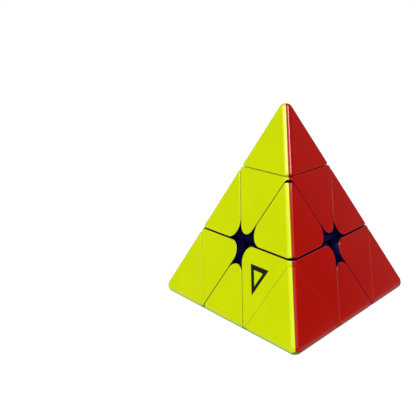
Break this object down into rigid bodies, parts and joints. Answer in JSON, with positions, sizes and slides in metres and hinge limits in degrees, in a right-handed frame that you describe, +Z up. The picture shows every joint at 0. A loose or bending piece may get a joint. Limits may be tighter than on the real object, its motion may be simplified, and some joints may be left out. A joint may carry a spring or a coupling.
{
  "type": "pyramid twisty puzzle",
  "caption": "Stickerless tetrahedral twisty puzzle whose corner layers turn about a four-armed core and whose tips spin.",
  "frame": {"origin": "centre of the core, where the four turning axes meet", "axes": "+Z up to the top corner, -Y to the side of the front corner, and the bottom face flat at the lowest Z"},
  "size_m": [0.0952, 0.0832, 0.0786],
  "materials": {
    "yellow_plastic": "glossy moulded, fluorescent yellow",
    "red_plastic": "glossy moulded",
    "blue_plastic": "glossy moulded",
    "green_plastic": "glossy moulded",
    "navy_plastic": "satin moulded",
    "steel": "zinc plated",
    "magnet_nickel": "nickel plated"
  },
  "bodies": {
    "core": {"core_spider": "navy_plastic", "screw_top": "steel", "screw_front": "steel", "screw_left": "steel", "screw_right": "steel"},
    "axial_top": {"axial_top_body": "navy_plastic", "axial_top_blue_cap": "blue_plastic", "axial_top_red_cap": "red_plastic", "axial_top_yellow_cap": "yellow_plastic", "ring_magnet_top": "magnet_nickel"},
    "axial_front": {"axial_front_body": "navy_plastic", "axial_front_green_cap": "green_plastic", "axial_front_red_cap": "red_plastic", "axial_front_yellow_cap": "yellow_plastic", "ring_magnet_front": "magnet_nickel"},
    "axial_left": {"axial_left_body": "navy_plastic", "axial_left_green_cap": "green_plastic", "axial_left_blue_cap": "blue_plastic", "axial_left_yellow_cap": "yellow_plastic", "ring_magnet_left": "magnet_nickel"},
    "axial_right": {"axial_right_body": "navy_plastic", "axial_right_green_cap": "green_plastic", "axial_right_blue_cap": "blue_plastic", "axial_right_red_cap": "red_plastic", "ring_magnet_right": "magnet_nickel"},
    "tip_top": {"tip_top_body": "navy_plastic", "tip_top_blue_cap": "blue_plastic", "tip_top_red_cap": "red_plastic", "tip_top_yellow_cap": "yellow_plastic"},
    "tip_front": {"tip_front_body": "navy_plastic", "tip_front_green_cap": "green_plastic", "tip_front_red_cap": "red_plastic", "tip_front_yellow_cap": "yellow_plastic"},
    "tip_left": {"tip_left_body": "navy_plastic", "tip_left_green_cap": "green_plastic", "tip_left_blue_cap": "blue_plastic", "tip_left_yellow_cap": "yellow_plastic"},
    "tip_right": {"tip_right_body": "navy_plastic", "tip_right_green_cap": "green_plastic", "tip_right_blue_cap": "blue_plastic", "tip_right_red_cap": "red_plastic"},
    "edge_top_front": {"edge_top_front_body": "navy_plastic", "edge_top_front_red_cap": "red_plastic", "edge_top_front_yellow_cap": "yellow_plastic"},
    "edge_top_left": {"edge_top_left_body": "navy_plastic", "edge_top_left_blue_cap": "blue_plastic", "edge_top_left_yellow_cap": "yellow_plastic"},
    "edge_top_right": {"edge_top_right_body": "navy_plastic", "edge_top_right_blue_cap": "blue_plastic", "edge_top_right_red_cap": "red_plastic"},
    "edge_front_right": {"edge_front_right_body": "navy_plastic", "edge_front_right_green_cap": "green_plastic", "edge_front_right_red_cap": "red_plastic"},
    "edge_right_left": {"edge_right_left_body": "navy_plastic", "edge_right_left_green_cap": "green_plastic", "edge_right_left_blue_cap": "blue_plastic"},
    "edge_left_front": {"edge_left_front_body": "navy_plastic", "edge_left_front_green_cap": "green_plastic", "edge_left_front_yellow_cap": "yellow_plastic"}
  },
  "joints": [
    {"name": "turn_top", "type": "hinge", "parent": "core", "child": "axial_top", "pos_m": [0, 0, 0], "axis": [0, 0, 1], "continuous": true},
    {"name": "turn_front", "type": "hinge", "parent": "core", "child": "axial_front", "pos_m": [0, 0, 0], "axis": [0, -0.9428, -0.3333], "range_deg": [-360, 360]},
    {"name": "turn_left", "type": "hinge", "parent": "core", "child": "axial_left", "pos_m": [0, 0, 0], "axis": [-0.8165, 0.4714, -0.3333], "range_deg": [-360, 360]},
    {"name": "turn_right", "type": "hinge", "parent": "core", "child": "axial_right", "pos_m": [0, 0, 0], "axis": [0.8165, 0.4714, -0.3333], "range_deg": [-360, 360]},
    {"name": "spin_tip_top", "type": "hinge", "parent": "axial_top", "child": "tip_top", "pos_m": [0, 0, 0], "axis": [0, 0, 1], "continuous": true},
    {"name": "spin_tip_front", "type": "hinge", "parent": "axial_front", "child": "tip_front", "pos_m": [0, 0, 0], "axis": [0, -0.9428, -0.3333], "continuous": true},
    {"name": "spin_tip_left", "type": "hinge", "parent": "axial_left", "child": "tip_left", "pos_m": [0, 0, 0], "axis": [-0.8165, 0.4714, -0.3333], "continuous": true},
    {"name": "spin_tip_right", "type": "hinge", "parent": "axial_right", "child": "tip_right", "pos_m": [0, 0, 0], "axis": [0.8165, 0.4714, -0.3333], "continuous": true},
    {"name": "edge_top_front_with_front_turn", "type": "hinge", "parent": "axial_top", "child": "edge_top_front", "pos_m": [0, 0, 0], "axis": [0, -0.9428, -0.3333], "range_deg": [-360, 360]},
    {"name": "edge_top_left_with_left_turn", "type": "hinge", "parent": "axial_top", "child": "edge_top_left", "pos_m": [0, 0, 0], "axis": [-0.8165, 0.4714, -0.3333], "range_deg": [-360, 360]},
    {"name": "edge_top_right_with_right_turn", "type": "hinge", "parent": "axial_top", "child": "edge_top_right", "pos_m": [0, 0, 0], "axis": [0.8165, 0.4714, -0.3333], "range_deg": [-360, 360]},
    {"name": "edge_left_front_with_front_turn", "type": "hinge", "parent": "axial_left", "child": "edge_left_front", "pos_m": [0, 0, 0], "axis": [0, -0.9428, -0.3333], "range_deg": [-360, 360]},
    {"name": "edge_front_right_with_right_turn", "type": "hinge", "parent": "axial_front", "child": "edge_front_right", "pos_m": [0, 0, 0], "axis": [0.8165, 0.4714, -0.3333], "range_deg": [-360, 360]},
    {"name": "edge_right_left_with_left_turn", "type": "hinge", "parent": "axial_right", "child": "edge_right_left", "pos_m": [0, 0, 0], "axis": [-0.8165, 0.4714, -0.3333], "range_deg": [-360, 360]}
  ],
  "couplings": [
    {"joint": "edge_top_front_with_front_turn", "follows": "turn_front", "ratio": 1},
    {"joint": "edge_top_left_with_left_turn", "follows": "turn_left", "ratio": 1},
    {"joint": "edge_top_right_with_right_turn", "follows": "turn_right", "ratio": 1},
    {"joint": "edge_left_front_with_front_turn", "follows": "turn_front", "ratio": 1},
    {"joint": "edge_front_right_with_right_turn", "follows": "turn_right", "ratio": 1},
    {"joint": "edge_right_left_with_left_turn", "follows": "turn_left", "ratio": 1}
  ]
}
